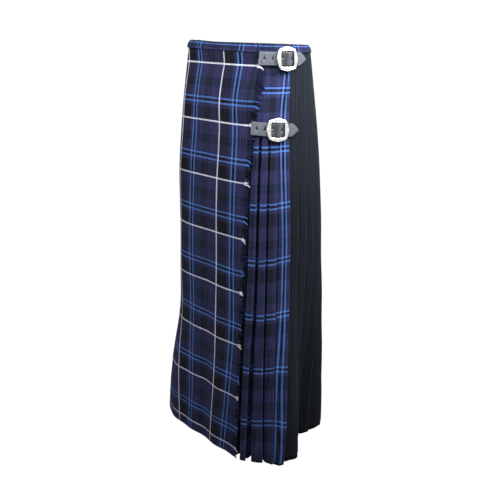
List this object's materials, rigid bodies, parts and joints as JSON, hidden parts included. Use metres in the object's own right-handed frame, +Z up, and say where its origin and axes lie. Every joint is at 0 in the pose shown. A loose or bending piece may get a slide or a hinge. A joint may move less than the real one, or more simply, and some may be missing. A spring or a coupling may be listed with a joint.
{
  "type": "pleated wrap kilt",
  "caption": "Floor-length pleated wrap kilt: check front apron and hip pleats, plain dark back pleats, fringed free edge, waistband, and two leather straps with buckles.",
  "frame": {"origin": "centre of the waist opening, level with the top of the waistband at the front, where the wearer's waist holds the kilt", "axes": "+Z up; -Y to the front, where the apron is; +X to the wearer's left, where the kilt buckles"},
  "size_m": [0.4668, 0.3539, 0.97],
  "materials": {
    "check_cloth": "worsted wool twill, woven check",
    "black_cloth": "black self-figured worsted",
    "black_leather": "smooth, satin",
    "silver_metal": "polished cast buckle"
  },
  "bodies": {
    "root": {"over_apron": "check_cloth", "under_apron": "check_cloth", "pleats_left": "check_cloth", "pleats_right": "check_cloth", "fringe": "check_cloth", "waistband": "check_cloth", "waistband_under": "check_cloth", "pleats_back": "black_cloth", "strap_upper": "black_leather", "strap_lower": "black_leather", "chape_upper": "black_leather", "chape_lower": "black_leather", "buckle_upper": "silver_metal", "buckle_lower": "silver_metal", "prong_upper": "silver_metal", "prong_lower": "silver_metal"}
  },
  "joints": []
}
